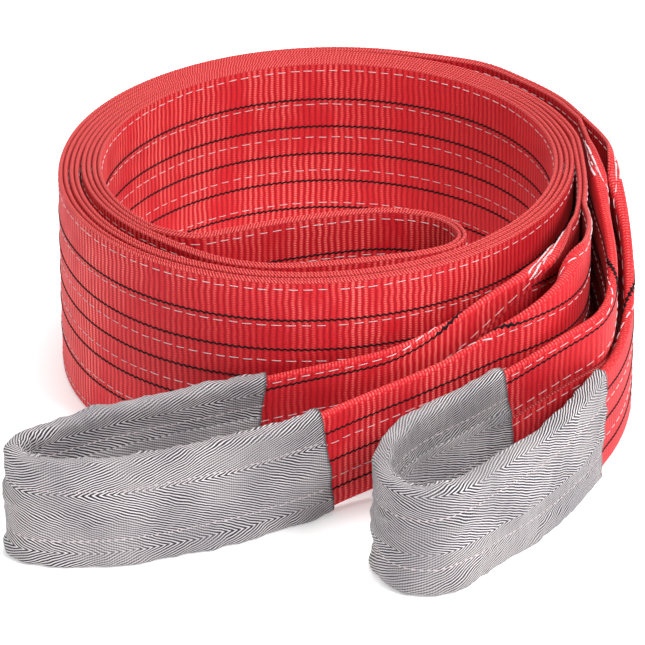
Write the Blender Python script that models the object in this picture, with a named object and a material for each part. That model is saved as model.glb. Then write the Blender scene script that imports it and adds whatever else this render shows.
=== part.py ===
"""Flat polyester web sling, two plies, with folded and sleeved eyes, lying coiled on its edge.

The sling is doubled at its middle and the doubled band is wound twice round an open coil.
The webbing stands on its edge, so every stretch of it is a strip that follows a plan route and
rises from the floor to the web width. Metres, +Z up, origin under the middle of the whole sling.
"""
import math

import bmesh
import bpy
from mathutils import Vector

# Webbing
WEB_WIDTH = 0.150
PLY = 0.0033              # thickness of one ply
PLY_GAP = 0.0004          # air between the two sewn plies
FOLDED_HALF = 0.0378      # half the height of the web where both its edges are folded in
FOLD_GROWTH = 0.0038      # thickness that a folded edge adds on the inside of an eye
FOLD_GROWTH_RUN = 0.070   # length of web, from a root, over which that thickness comes in
JOIN_GAP = 0.0005         # air between one stretch and the next

# Sleeves
SLEEVE_WALL = 0.0012
SLEEVE_AIR = 0.0003
SLEEVE_CORNER = 0.0016    # bevel on the sleeve's long edges
SLEEVE_INNER_CORNER = 0.0003
SLEEVE_SIDES = 8

# Coil, seen from above: angles run clockwise from the front of the coil
COIL_X = 0.0002
COIL_Y = 0.0873
INNER_RADIUS = 0.1670     # middle of the innermost band
LAYER_STEP = 0.0151       # what the second turn adds
LAYER_START = 290         # angle at which the band starts to climb to the second turn
LAYER_SPAN = 130          # degrees that the climb takes
BAND_STEP = 0.0077        # from one half of the doubled sling to the other
COIL_STEP = 6             # degrees between two stations
LEG_STEP = 0.0085         # metres between two stations off the coil
CURVE_PARTS = 12          # straight parts between two route points, before they are evened out

# Where the wound band swells off its spiral: middle and reach in degrees, and metres outwards.
# The largest one takes the second turn past the middle loop.
BAND_SWELLS = [(382, 78, 0.0125), (322, 45, 0.0020), (128, 62, -0.0042), (488, 62, -0.0042),
               (275, 60, -0.0015)]
# The same for the distance between the two halves
STEP_SWELLS = [(382, 78, 0.0022), (585, 60, 0.0040)]

LEFT = 0                  # the half whose eye lies front left
RIGHT = 1                 # the half whose eye lies front right
COIL_START = 48           # where both halves have left the middle loop
SECOND_TURN = 360
LEFT_COIL_END = 618
RIGHT_COIL_END = 558

# Hand-laid route, in metres from the middle of the coil: the middle loop, from the left half's
# start on the coil round the fold of the sling to the right half's start
MIDDLE_LOOP = [
    (-0.0925, -0.1262), (-0.0680, -0.1175), (-0.0360, -0.1045), (0.0000, -0.0930),
    (0.0360, -0.0860), (0.0600, -0.0885), (0.0790, -0.0980), (0.0900, -0.1120),
    (0.0930, -0.1265), (0.0860, -0.1405), (0.0710, -0.1500), (0.0400, -0.1600),
    (0.0000, -0.1690), (-0.0420, -0.1722), (-0.0780, -0.1610),
]
# Both plies of a half run on together past the coil to the root of its eye
LEFT_RUN_OUT = [(0.1810, -0.0150), (0.1805, -0.0480), (0.1785, -0.0720)]
RIGHT_RUN_OUT = [(0.1150, 0.1630), (0.1445, 0.1350), (0.1695, 0.1025), (0.1855, 0.0680)]

# Eye routes: x, y and the height of the web's middle line. Each starts at the root on its inner
# ply, goes round the tip and comes back to the root on its outer ply.
LEFT_EYE = [
    (0.1725, -0.0980, 0.0755), (0.1640, -0.1200, 0.0765), (0.1530, -0.1390, 0.0780),
    (0.1300, -0.1640, 0.0800), (0.1060, -0.1800, 0.0780), (0.0880, -0.1900, 0.0740),
    (0.0660, -0.1985, 0.0690), (0.0400, -0.2060, 0.0640), (0.0120, -0.2105, 0.0590),
    (-0.0200, -0.2125, 0.0525), (-0.0490, -0.2155, 0.0465), (-0.0830, -0.2215, 0.0420),
    (-0.1170, -0.2330, 0.0405), (-0.1550, -0.2500, 0.0395), (-0.1830, -0.2670, 0.0395),
    (-0.2070, -0.2860, 0.0395), (-0.2140, -0.3030, 0.0395), (-0.2045, -0.3195, 0.0395),
    (-0.1810, -0.3260, 0.0395), (-0.1480, -0.3255, 0.0395), (-0.1190, -0.3180, 0.0395),
    (-0.0920, -0.3070, 0.0395), (-0.0540, -0.2890, 0.0395), (-0.0260, -0.2720, 0.0396),
    (-0.0040, -0.2570, 0.0400), (0.0140, -0.2450, 0.0425), (0.0350, -0.2345, 0.0470),
    (0.0560, -0.2260, 0.0520), (0.0770, -0.2180, 0.0580), (0.0990, -0.2100, 0.0645),
    (0.1180, -0.2030, 0.0710), (0.1350, -0.1985, 0.0755), (0.1500, -0.1900, 0.0790),
    (0.1620, -0.1780, 0.0795), (0.1720, -0.1590, 0.0785), (0.1790, -0.1330, 0.0770),
    (0.1825, -0.1020, 0.0755),
]
RIGHT_EYE = [
    (0.1885, 0.0280, 0.0750), (0.1905, -0.0060, 0.0750), (0.1930, -0.0370, 0.0752),
    (0.1955, -0.0680, 0.0756), (0.1970, -0.0960, 0.0762), (0.1970, -0.1210, 0.0770),
    (0.1955, -0.1430, 0.0780), (0.1915, -0.1630, 0.0780), (0.1840, -0.1780, 0.0770),
    (0.1740, -0.1870, 0.0750), (0.1600, -0.1960, 0.0700), (0.1430, -0.2050, 0.0630),
    (0.1250, -0.2130, 0.0540), (0.1080, -0.2200, 0.0475), (0.0850, -0.2340, 0.0425),
    (0.0630, -0.2530, 0.0405), (0.0460, -0.2750, 0.0395), (0.0370, -0.2980, 0.0395),
    (0.0340, -0.3230, 0.0395), (0.0385, -0.3470, 0.0395), (0.0525, -0.3620, 0.0395),
    (0.0705, -0.3645, 0.0395), (0.0905, -0.3510, 0.0395), (0.1170, -0.3200, 0.0395),
    (0.1430, -0.2880, 0.0395), (0.1660, -0.2500, 0.0395), (0.1810, -0.2180, 0.0395),
    (0.1905, -0.1930, 0.0395), (0.2000, -0.1700, 0.0400), (0.2075, -0.1450, 0.0415),
    (0.2130, -0.1150, 0.0450), (0.2150, -0.0850, 0.0495), (0.2145, -0.0550, 0.0560),
    (0.2115, -0.0200, 0.0640), (0.2060, 0.0120, 0.0705), (0.1975, 0.0420, 0.0740),
]
# Length over which a web narrows from full width at its root to its folded height
LEFT_TAPER = (0.220, 0.220)
RIGHT_TAPER = (0.270, 0.250)
# Length of bare web between a root and its sleeve, on the inner and the outer leg
LEFT_BARE = (0.292, 0.298)
RIGHT_BARE = (0.324, 0.281)

RED = (0.730, 0.012, 0.020, 1.0)
RED_ROUGHNESS = 0.75
GREY = (0.420, 0.400, 0.410, 1.0)
GREY_ROUGHNESS = 0.90
SHARP_ANGLE = 40          # degrees between two faces above which their edge stays sharp


def smooth(t):
    """Ease from 0 to 1."""
    t = min(1.0, max(0.0, t))
    return t * t * (3.0 - 2.0 * t)


def swell(angle, swells):
    """Sum of the swells at an angle. Each fades to nothing at its reach on each side."""
    total = 0.0
    for middle, reach, size in swells:
        d = abs(angle - middle) / reach
        if d < 1.0:
            total += size * math.cos(0.5 * math.pi * d) ** 2
    return total


def coil_point(angle, half):
    """A point on the middle line of one half of the doubled sling, on the coil."""
    radius = INNER_RADIUS + LAYER_STEP * smooth((angle - LAYER_START) / LAYER_SPAN)
    radius += swell(angle, BAND_SWELLS)
    radius += half * (BAND_STEP + swell(angle, STEP_SWELLS))
    a = math.radians(angle)
    return Vector((-radius * math.sin(a), -radius * math.cos(a)))


def spline(points, step):
    """Points at even steps along a centripetal Catmull-Rom curve through the given points."""
    pts = [Vector(p) for p in points]
    pts = [2 * pts[0] - pts[1]] + pts + [2 * pts[-1] - pts[-2]]
    fine = []
    for i in range(1, len(pts) - 2):
        p0, p1, p2, p3 = pts[i - 1:i + 3]
        t1 = (p1 - p0).length ** 0.5
        t2 = t1 + (p2 - p1).length ** 0.5
        t3 = t2 + (p3 - p2).length ** 0.5
        for k in range(CURVE_PARTS):
            t = t1 + (t2 - t1) * k / CURVE_PARTS
            a1 = p0.lerp(p1, t / t1)
            a2 = p1.lerp(p2, (t - t1) / (t2 - t1))
            a3 = p2.lerp(p3, (t - t2) / (t3 - t2))
            b1 = a1.lerp(a2, t / t2)
            b2 = a2.lerp(a3, (t - t1) / (t3 - t1))
            fine.append(b1.lerp(b2, (t - t1) / (t2 - t1)))
    fine.append(pts[-2])
    return even(fine, step)


def distances(points):
    """Distance of each point along its line."""
    out = [0.0]
    for a, b in zip(points, points[1:]):
        out.append(out[-1] + (b - a).length)
    return out


def even(points, step):
    """The same line with evenly spaced points."""
    run = distances(points)
    count = max(2, round(run[-1] / step))
    return [point_at(points, run, run[-1] * k / count) for k in range(count + 1)]


def normals(points):
    """Unit normals in plan, to the left of the way the line runs."""
    runs = [(b - a).to_2d().normalized() for a, b in zip(points, points[1:])]
    ways = [3 * runs[0] - runs[1]] + [a + b for a, b in zip(runs, runs[1:])] + [3 * runs[-1] - runs[-2]]
    return [Vector((-d.y, d.x)).normalized() for d in ways]


def coil_line(half, start, end):
    """Middle line of one half on the coil, with a station every few degrees."""
    count = round((end - start) / COIL_STEP)
    return [coil_point(start + (end - start) * k / count, half) for k in range(count + 1)]


def run_out(half, coil_end, root):
    """Middle line of one half from the end of its coil to the root of its eye."""
    lead = [coil_point(coil_end - COIL_STEP, half), coil_point(coil_end, half)]
    line = spline(lead + [Vector(p) for p in root], LEG_STEP)
    return trim(line, (lead[1] - lead[0]).length + LEG_STEP, 0.0)


def point_at(points, run, s):
    """The point at a distance along a line."""
    i = 0
    while i < len(points) - 2 and run[i + 1] < s:
        i += 1
    return points[i].lerp(points[i + 1], (s - run[i]) / (run[i + 1] - run[i]))


def trim(points, start, end):
    """Take a length off each end of a line."""
    run = distances(points)
    stop = run[-1] - end
    kept = [p for p, s in zip(points, run) if start + JOIN_GAP < s < stop - JOIN_GAP]
    return [point_at(points, run, start)] + kept + [point_at(points, run, stop)]


def loft(name, rings, material):
    """A closed body through rings of the same number of points. Its first and last ring are filled."""
    bm = bmesh.new()
    rows = [[bm.verts.new(p) for p in ring] for ring in rings]
    size = len(rows[0])
    for a, b in zip(rows, rows[1:]):
        for k in range(size):
            bm.faces.new((a[k], a[(k + 1) % size], b[(k + 1) % size], b[k]))
    bm.faces.new(rows[0])
    bm.faces.new(list(reversed(rows[-1])))
    return finish(name, bm, material)


def finish(name, bm, material):
    """Turn a bmesh into a named object with its faces pointing out."""
    bmesh.ops.recalc_face_normals(bm, faces=bm.faces[:])
    mesh = bpy.data.meshes.new(name)
    bm.to_mesh(mesh)
    bm.free()
    mesh.materials.append(material)
    mesh.shade_smooth()
    mesh.set_sharp_from_angle(angle=math.radians(SHARP_ANGLE))
    obj = bpy.data.objects.new(name, mesh)
    bpy.context.scene.collection.objects.link(obj)
    return obj


def place(point, normal, across, height):
    """A point of the model: a plan point moved along its normal and raised."""
    flat = Vector((point.x, point.y)) + normal * across
    return Vector((flat.x + COIL_X, flat.y + COIL_Y, height))


def ply(name, line, side, material):
    """One ply of the double band. side is +1 on the left of the line and -1 on its right."""
    middle = side * (PLY + PLY_GAP) / 2
    near = middle - PLY / 2
    far = middle + PLY / 2
    rings = []
    for p, n in zip(line, normals(line)):
        rings.append([place(p, n, near, 0.0), place(p, n, far, 0.0),
                      place(p, n, far, WEB_WIDTH), place(p, n, near, WEB_WIDTH)])
    return loft(name, rings, material)


def eye_half_height(s, total, taper):
    """Half the web's height at a distance along an eye, measured from its inner root."""
    full = WEB_WIDTH / 2
    inner = full + (FOLDED_HALF - full) * smooth(s / taper[0])
    outer = full + (FOLDED_HALF - full) * smooth((total - s) / taper[1])
    return max(inner, outer)


def eye_inside(s, total):
    """How far the inner face stands off the web's middle surface: folded edges lie on it."""
    grown = smooth(min(s, total - s) / FOLD_GROWTH_RUN)
    return PLY / 2 + FOLD_GROWTH * grown


def eye_stations(route, root):
    """Plan line and heights of one eye, joined to the two plies of its band at the root."""
    root_point = Vector(root[-1])
    before = Vector(root[-2])
    way = (root_point - before).normalized()
    n = Vector((-way.y, way.x))
    offset = (PLY + PLY_GAP) / 2
    inner = root_point - n * offset
    outer = root_point + n * offset
    middle = WEB_WIDTH / 2
    points = [(inner.x, inner.y, middle)] + route + [(outer.x, outer.y, middle)]
    return spline(points, LEG_STEP)


def eye_web(name, line, taper, material):
    """The webbing of one eye, from root to root, with its edges folded to the inside."""
    run = distances(line)
    rings = []
    for p, n, s in zip(line, normals(line), run):
        half = eye_half_height(s, run[-1], taper)
        low = max(p.z - half, 0.0)
        high = low + 2 * half
        inside = eye_inside(s, run[-1])
        rings.append([place(p, n, -PLY / 2, low), place(p, n, inside, low),
                      place(p, n, inside, high), place(p, n, -PLY / 2, high)])
    return loft(name, rings, material)


def sleeve_ring(p, n, half, inside, grow, corner):
    """The points round a web's section, grown by a margin, with bevelled corners."""
    left = inside + grow
    right = -PLY / 2 - grow
    low = max(p.z - half, 0.0) - grow
    high = low + 2 * (half + grow)
    return [place(p, n, right + corner, low), place(p, n, left - corner, low),
            place(p, n, left, low + corner), place(p, n, left, high - corner),
            place(p, n, left - corner, high), place(p, n, right + corner, high),
            place(p, n, right, high - corner), place(p, n, right, low + corner)]


def sleeve(name, line, taper, bare, material):
    """The cloth tube sewn round one eye, open at both ends."""
    run = distances(line)
    bm = bmesh.new()
    outer = []
    inner = []
    for p, n, s in zip(line, normals(line), run):
        if not bare[0] < s < run[-1] - bare[1]:
            continue
        half = eye_half_height(s, run[-1], taper)
        inside = eye_inside(s, run[-1])
        grow = SLEEVE_AIR + SLEEVE_WALL
        outer.append([bm.verts.new(v) for v in sleeve_ring(p, n, half, inside, grow, SLEEVE_CORNER)])
        ring = sleeve_ring(p, n, half, inside, SLEEVE_AIR, SLEEVE_INNER_CORNER)
        inner.append([bm.verts.new(v) for v in ring])
    joins = list(zip(outer, outer[1:])) + list(zip(inner, inner[1:]))
    for a, b in joins + [(outer[0], inner[0]), (outer[-1], inner[-1])]:
        for k in range(SLEEVE_SIDES):
            j = (k + 1) % SLEEVE_SIDES
            bm.faces.new((a[k], a[j], b[j], b[k]))
    return finish(name, bm, material)


def cloth(name, colour, roughness):
    """A plain Principled material."""
    material = bpy.data.materials.new(name)
    material.use_nodes = True
    shader = material.node_tree.nodes["Principled BSDF"]
    shader.inputs["Base Color"].default_value = colour
    shader.inputs["Roughness"].default_value = roughness
    shader.inputs["Metallic"].default_value = 0.0
    return material


def build_half(prefix, half, coil_end, root, red):
    """The two turns of one half, each of its plies a body of its own."""
    first = coil_line(half, COIL_START, SECOND_TURN)
    second = coil_line(half, SECOND_TURN, coil_end) + run_out(half, coil_end, root)
    for turn, line in (("first_turn", first), ("second_turn", second)):
        line = trim(line, JOIN_GAP, JOIN_GAP)
        ply(f"{prefix}_{turn}_inner_ply", line, -1, red)
        ply(f"{prefix}_{turn}_outer_ply", line, 1, red)


def build_eye(prefix, route, root, taper, bare, red, grey):
    """One eye: its webbing and the sleeve over it."""
    line = trim(eye_stations(route, root), JOIN_GAP, JOIN_GAP)
    eye_web(f"{prefix}_eye_web", line, taper, red)
    sleeve(f"{prefix}_eye_sleeve", line, taper, bare, grey)


def build():
    """Model the whole sling."""
    red = cloth("red_polyester_webbing", RED, RED_ROUGHNESS)
    grey = cloth("grey_sleeve_cloth", GREY, GREY_ROUGHNESS)
    lead_in = [coil_point(COIL_START + COIL_STEP * k, LEFT) for k in (1, 0)]
    lead_out = [coil_point(COIL_START + COIL_STEP * k, RIGHT) for k in (0, 1)]
    loop = spline(lead_in + [Vector(p) for p in MIDDLE_LOOP] + lead_out, LEG_STEP)
    loop = trim(loop, (lead_in[1] - lead_in[0]).length + JOIN_GAP,
                (lead_out[1] - lead_out[0]).length + JOIN_GAP)
    ply("middle_loop_inside_ply", loop, -1, red)
    ply("middle_loop_outside_ply", loop, 1, red)
    build_half("left_half", LEFT, LEFT_COIL_END, LEFT_RUN_OUT, red)
    build_half("right_half", RIGHT, RIGHT_COIL_END, RIGHT_RUN_OUT, red)
    build_eye("left", LEFT_EYE, LEFT_RUN_OUT, LEFT_TAPER, LEFT_BARE, red, grey)
    build_eye("right", RIGHT_EYE, RIGHT_RUN_OUT, RIGHT_TAPER, RIGHT_BARE, red, grey)


def main():
    """Clear the scene and model the sling."""
    for obj in list(bpy.data.objects):
        bpy.data.objects.remove(obj, do_unlink=True)
    build()


main()
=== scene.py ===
"""Looks of a flat web sling that lies coiled on its edge: ribbed red webbing with black marker
threads and white stitch rows, and herringbone sleeves on its two eyes.

The webbing is modelled directly, as strips that follow the routes of the CAD model. Metres, +Z up.
"""
import functools
import math
import random

import bmesh
import bpy
import numpy as np
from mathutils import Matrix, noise


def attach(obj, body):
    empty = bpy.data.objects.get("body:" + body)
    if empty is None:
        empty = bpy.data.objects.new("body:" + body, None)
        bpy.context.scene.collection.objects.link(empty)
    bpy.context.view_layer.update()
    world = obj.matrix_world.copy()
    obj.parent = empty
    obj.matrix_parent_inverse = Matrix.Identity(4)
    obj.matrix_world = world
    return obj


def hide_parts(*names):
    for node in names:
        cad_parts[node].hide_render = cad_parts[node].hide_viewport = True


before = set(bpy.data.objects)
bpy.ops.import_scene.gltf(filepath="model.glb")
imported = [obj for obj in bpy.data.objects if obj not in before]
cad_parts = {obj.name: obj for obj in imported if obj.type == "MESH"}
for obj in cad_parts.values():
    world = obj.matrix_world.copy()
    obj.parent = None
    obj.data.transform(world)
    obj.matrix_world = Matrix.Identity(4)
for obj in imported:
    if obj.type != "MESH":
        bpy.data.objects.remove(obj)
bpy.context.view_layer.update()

# Webbing, as in the CAD model
WEB_WIDTH = 0.150
PLY = 0.0033  # thickness of one ply
PLY_GAP = 0.0004  # air between the two sewn plies
FOLDED_HALF = 0.0378  # half the height of the web where both its edges are folded in

# Coil, as in the CAD model. Angles run clockwise from the front of the coil, in degrees.
COIL_X = 0.0002
COIL_Y = 0.0873
INNER_RADIUS = 0.1670  # middle of the innermost band
LAYER_STEP = 0.0151  # what the second turn adds, and where the band climbs to it
LAYER_START = 290
LAYER_SPAN = 130
BAND_STEP = 0.0077  # from one half of the doubled sling to the other
# Where the band swells off its spiral: middle and reach in degrees, and metres outwards
BAND_SWELLS = [(382, 78, 0.0125), (322, 45, 0.0020), (128, 62, -0.0042), (488, 62, -0.0042),
               (275, 60, -0.0015)]
# The same for the distance between the two halves
STEP_SWELLS = [(382, 78, 0.0022), (585, 60, 0.0040)]
LEFT = 0  # the half whose eye lies front left
RIGHT = 1  # the half whose eye lies front right
COIL_START = 48  # where both halves have left the middle loop
SECOND_TURN = 360
LEFT_COIL_END = 618
RIGHT_COIL_END = 558
LEAD = 6  # degrees of coil that guide a listed route at each end
FINE_ANGLE = 0.5  # degrees between two points of the fine coil line
CURVE_PARTS = 20  # points of the fine line between two listed ones

# Listed routes, as in the CAD model: from the middle of the coil, and along the middle of the web
MIDDLE_LOOP = [
    (-0.0925, -0.1262), (-0.068, -0.1175), (-0.036, -0.1045), (0.0, -0.093),
    (0.036, -0.086), (0.06, -0.0885), (0.079, -0.098), (0.09, -0.112),
    (0.093, -0.1265), (0.086, -0.1405), (0.071, -0.15), (0.04, -0.16),
    (0.0, -0.169), (-0.042, -0.1722), (-0.078, -0.161),
]
# Both plies of a half run on together past the coil to the root of its eye
LEFT_RUN_OUT = [(0.181, -0.015), (0.1805, -0.048), (0.1785, -0.072)]
RIGHT_RUN_OUT = [(0.115, 0.163), (0.1445, 0.135), (0.1695, 0.1025), (0.1855, 0.068)]
# Eye routes, with the height of the web's middle, from the inner ply's root round to the outer ply's
LEFT_EYE = [
    (0.1725, -0.098, 0.0755), (0.164, -0.12, 0.0765), (0.153, -0.139, 0.078),
    (0.13, -0.164, 0.08), (0.106, -0.18, 0.078), (0.088, -0.19, 0.074),
    (0.066, -0.1985, 0.069), (0.04, -0.206, 0.064), (0.012, -0.2105, 0.059),
    (-0.02, -0.2125, 0.0525), (-0.049, -0.2155, 0.0465), (-0.083, -0.2215, 0.042),
    (-0.117, -0.233, 0.0405), (-0.155, -0.25, 0.0395), (-0.183, -0.267, 0.0395),
    (-0.207, -0.286, 0.0395), (-0.214, -0.303, 0.0395), (-0.2045, -0.3195, 0.0395),
    (-0.181, -0.326, 0.0395), (-0.148, -0.3255, 0.0395), (-0.119, -0.318, 0.0395),
    (-0.092, -0.307, 0.0395), (-0.054, -0.289, 0.0395), (-0.026, -0.272, 0.0396),
    (-0.004, -0.257, 0.04), (0.014, -0.245, 0.0425), (0.035, -0.2345, 0.047),
    (0.056, -0.226, 0.052), (0.077, -0.218, 0.058), (0.099, -0.21, 0.0645),
    (0.118, -0.203, 0.071), (0.135, -0.1985, 0.0755), (0.15, -0.19, 0.079),
    (0.162, -0.178, 0.0795), (0.172, -0.159, 0.0785), (0.179, -0.133, 0.077),
    (0.1825, -0.102, 0.0755),
]
RIGHT_EYE = [
    (0.1885, 0.028, 0.075), (0.1905, -0.006, 0.075), (0.193, -0.037, 0.0752),
    (0.1955, -0.068, 0.0756), (0.197, -0.096, 0.0762), (0.197, -0.121, 0.077),
    (0.1955, -0.143, 0.078), (0.1915, -0.163, 0.078), (0.184, -0.178, 0.077),
    (0.174, -0.187, 0.075), (0.16, -0.196, 0.07), (0.143, -0.205, 0.063),
    (0.125, -0.213, 0.054), (0.108, -0.22, 0.0475), (0.085, -0.234, 0.0425),
    (0.063, -0.253, 0.0405), (0.046, -0.275, 0.0395), (0.037, -0.298, 0.0395),
    (0.034, -0.323, 0.0395), (0.0385, -0.347, 0.0395), (0.0525, -0.362, 0.0395),
    (0.0705, -0.3645, 0.0395), (0.0905, -0.351, 0.0395), (0.117, -0.32, 0.0395),
    (0.143, -0.288, 0.0395), (0.166, -0.25, 0.0395), (0.181, -0.218, 0.0395),
    (0.1905, -0.193, 0.0395), (0.2, -0.17, 0.04), (0.2075, -0.145, 0.0415),
    (0.213, -0.115, 0.045), (0.215, -0.085, 0.0495), (0.2145, -0.055, 0.056),
    (0.2115, -0.02, 0.064), (0.206, 0.012, 0.0705), (0.1975, 0.042, 0.074),
]
# Both legs of an eye, the inner one first. The length over which the web narrows from its root
LEFT_TAPER = (0.220, 0.220)
RIGHT_TAPER = (0.270, 0.250)
# The length of bare web between a root and the sleeve
LEFT_BARE = (0.292, 0.298)
RIGHT_BARE = (0.324, 0.281)
# The distance from the root at which the edges start to fold in, the length over which they turn
# right over, and the width of the flat crest near the root
LEFT_FOLD = ((0.018, 0.060, 0.0070), (0.050, 0.070, 0.0040))
RIGHT_FOLD = ((0.018, 0.060, 0.0042), (0.024, 0.070, 0.0055))

# Folded edges of an eye's webbing
FOLD_RADIUS = 0.0019  # bend of the web's middle surface where an edge is folded over
FLAP_FACE = PLY / 2 + 2 * FOLD_RADIUS  # how far in the face of a flap lies that is folded over
SHELF_START = 0.060  # a fold has a flat crest near the root, up to here, which narrows over
SHELF_RUN = 0.075  # this length
NARROW_START = 0.6  # where the web starts to narrow, as a part of where its edges start to fold
LEVEL_STEP = 0.001  # the height of an eye's web is evened out in steps of this length,
LEVEL_REACH = 40  # over so many steps each way
LIFT = 0.0003  # room under a folded edge, for each radian of its fold
REACH_PLACES = 61  # places across half the web at which its lowest point is looked for
TURN_POINTS = 9  # route points over which a strip's turning is evened out
CREST_FOLD = 1.5  # radians of fold that make a whole crest

# Weave of the webbing
RIB = 0.0045  # pitch of the ribs across the web
RIB_DEPTH = 0.00030
CREST_CALM = 0.8  # part of their depth that the ribs lose on a crest
STEP = RIB / 4  # distance between two stations
STEP_ROOM = 0.3  # least distance from a strip's end to the next station, in steps
COLUMNS = np.array([0.0, 0.55, 1.0])  # places across half a flat web
COLUMN_GAP = 0.00005
CREST_MARKS = np.array([0.0, 0.0, 0.2, 0.6, 0.9, 1.0, 1.0, 1.0, 0.9, 0.6, 0.2, 0.1, 0.0])
EDGE = 0.0021  # width of the rounded selvedge
EDGE_OFF = np.array([-0.88, -0.52, 0.0, 0.52, 0.88])  # its section, in half thicknesses
EDGE_DROP = np.array([0.60, 0.17, 0.0, 0.17, 0.60])  # and in widths of the selvedge
EDGE_BUMP = 0.00038  # depth of the braid's bumps

# Faces of the webbing, as seen along its route
TO_LEFT = 1
TO_RIGHT = -1

# Threads and stitches, as places across the web from its middle. A thread's section is a diamond.
DIAMOND = np.array([(-0.5, 0.0), (0.0, 1.0), (0.5, 0.0), (0.0, -1.0)])
DIAMOND_SIDE = 0.6  # length of one of its sides, in widths of the thread
MARKER_ROWS = (-0.0450, -0.0225, 0.0, 0.0225, 0.0450)
MARKER_WIDTH = 0.0015
MARKER_HEIGHT = 0.00045
MARKER_WAVE = 0.00052  # how far a marker thread strays to both sides, once for each rib
MARKER_LIFT = 0.00012
STITCH_ROWS = (-0.0685, -0.0411, -0.0137, 0.0137, 0.0411, 0.0685)
STITCH_PITCH = 0.0100
STITCH_LENGTH = 0.0066
STITCH_WIDTH = 0.00062
STITCH_HEIGHT = 0.00030
STITCH_PARTS = np.array([0.0, 0.12, 0.5, 0.88, 1.0])
STITCH_RISES = np.array([-0.6, 0.35, 0.6, 0.35, -0.6])
STITCH_ASIDE = 0.0002  # how far a stitch lies off its row
STITCH_SKEW = 0.0003  # and how far its end lies off its start

# Bar tacks: rows of long stitches, close together
TACK_ROW = 0.0026
TACK_LENGTH = 0.0130
TACK_WIDTH = 0.0012
TACK_HEIGHT = 0.00045
TACK_START = 0.004  # range of the places where a row starts
TACK_PARTS = np.array([0.0, 0.08, 0.36, 0.64, 0.92, 1.0])
TACK_RISES = np.array([-0.8, 0.5, 0.8, 0.8, 0.5, -0.8])
# Where they start and end, from the inner root or before the outer one, the places across the web
# there, and the number of rows
LEFT_TACKS = [(0.030, 0.092, 0.0680, 0.0640, 2), (-0.050, -0.012, 0.0700, 0.0712, 1)]
RIGHT_TACKS = [(0.030, 0.084, 0.0690, 0.0660, 2), (-0.084, -0.030, 0.0660, 0.0690, 2)]

# Sleeves. Heights are measured from the web's middle line, on the inside of the eye.
SLEEVE_WALL = 0.0012
SLEEVE_AIR = 0.0003
SLEEVE_BEND = 0.0030  # radius of the cloth at the web's edges
SLEEVE_STEP = 0.00125  # distance between two rings of points
SLEEVE_BEGIN = -0.004  # height at which the cloth begins
SLEEVE_OVERLAP = 0.012  # height at which it ends, over its own beginning
SLEEVE_LOOSE = 0.0018  # how far the cloth stands off the web on average
SLEEVE_SEAMS = 0.50  # height of the two stitch rows, as a part of half the web's height
SLEEVE_FLOOR = (0.0002, 0.0010)  # least height over the floor of the cloth's outer and inner face
LAP_START = -0.012  # height at which the overlapping cloth starts to step out
LAP_RUN = 0.009
LAP_AIR = 0.0004
OUTER_PLACES = 52  # points down the outside, up or down the inside, and round a corner
INNER_PLACES = 24
CORNER_PARTS = 6
HIDDEN = 0.010  # length of the webbing's threads under the sleeve's end
INNER_THREADS = 0.100  # and inside the eye, from its root
# For both ends of a sleeve, how far its cut slants and how far along its middle is shifted
LEFT_CUTS = ((0.001, 0.007), (-0.005, 0.001))
RIGHT_CUTS = ((0.005, 0.000), (0.004, 0.002))
# Which wrinkles a sleeve gets, and where its twill turns back, in millimetres
LEFT_SEED = 3.0
RIGHT_SEED = 11.0
LEFT_TWILL = -33.0
RIGHT_TWILL = -12.6

# Surface of a sleeve
CHANNEL = 0.0010  # how far the cloth puffs up between its seams
CHANNEL_EDGE = 0.005
PUCKER = 0.00050  # small folds across a seam
PUCKER_PITCH = 0.0085
PUCKER_LEAN = 40.0
PUCKER_REACH = 0.007
BROAD_WRINKLE = 0.0032
BROAD_GRAIN = (38.0, 20.0, 75.0)  # noise per metre along the cloth, its lean, and across it
BROAD_LOW = -0.1
FINE_WRINKLE = 0.0012
FINE_GRAIN = (110.0, -60.0, 130.0)
FINE_SEED = 5.0
HOLLOW = -0.0004  # depth of the deepest hollow
SEAM_CALM = 0.25  # part of a wrinkle that is left at a seam
GATHER = 0.0018  # folds across the cloth inside the eye, where the sleeve turns
GATHER_PITCH = 0.0075
GATHER_TURN = 30.0  # radians of turn for each metre at which they are whole

# Seams of a sleeve
SEAM_STITCH = 0.0034
SEAM_PITCH = 0.0046
SEAM_WIDTH = 0.0007
SEAM_HEIGHT = 0.00025
SEAM_SIDE = 0.0004
SEAM_ASIDE = 0.0004
SEAM_ENDS = (0.003, 0.006)
SEAM_PARTS = np.array([0.0, 0.2, 0.5, 0.8, 1.0])
SEAM_RISES = np.array([-0.3, 0.15, 0.3, 0.15, -0.3]) * 0.0004

# Camera and room
TARGET = (-0.0038, -0.0277, 0.0750)
CAMERA_DISTANCE = 3.5
CAMERA_ELEVATION = 27.3
LENS = 277.4
SENSOR_WIDTH = 36.0
LIGHT_TARGET = (0.0, 0.0, 0.07)
# Name, place, size and power
LIGHTS = [("key_light", (1.5, -1.3, 1.9), 0.8, 56.0), ("top_light", (0.1, 0.4, 2.4), 1.3, 43.0),
          ("left_light", (-2.0, -1.0, 1.2), 1.6, 3.0)]
WORLD_STRENGTH = 0.39
FLOOR_REACH = 12.0
FLOOR_HEIGHT = -0.0005
BACKDROP_RADIUS = 8.0
BACKDROP_HEIGHTS = (-0.01, 1.5)
BACKDROP_SIDES = 96

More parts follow.
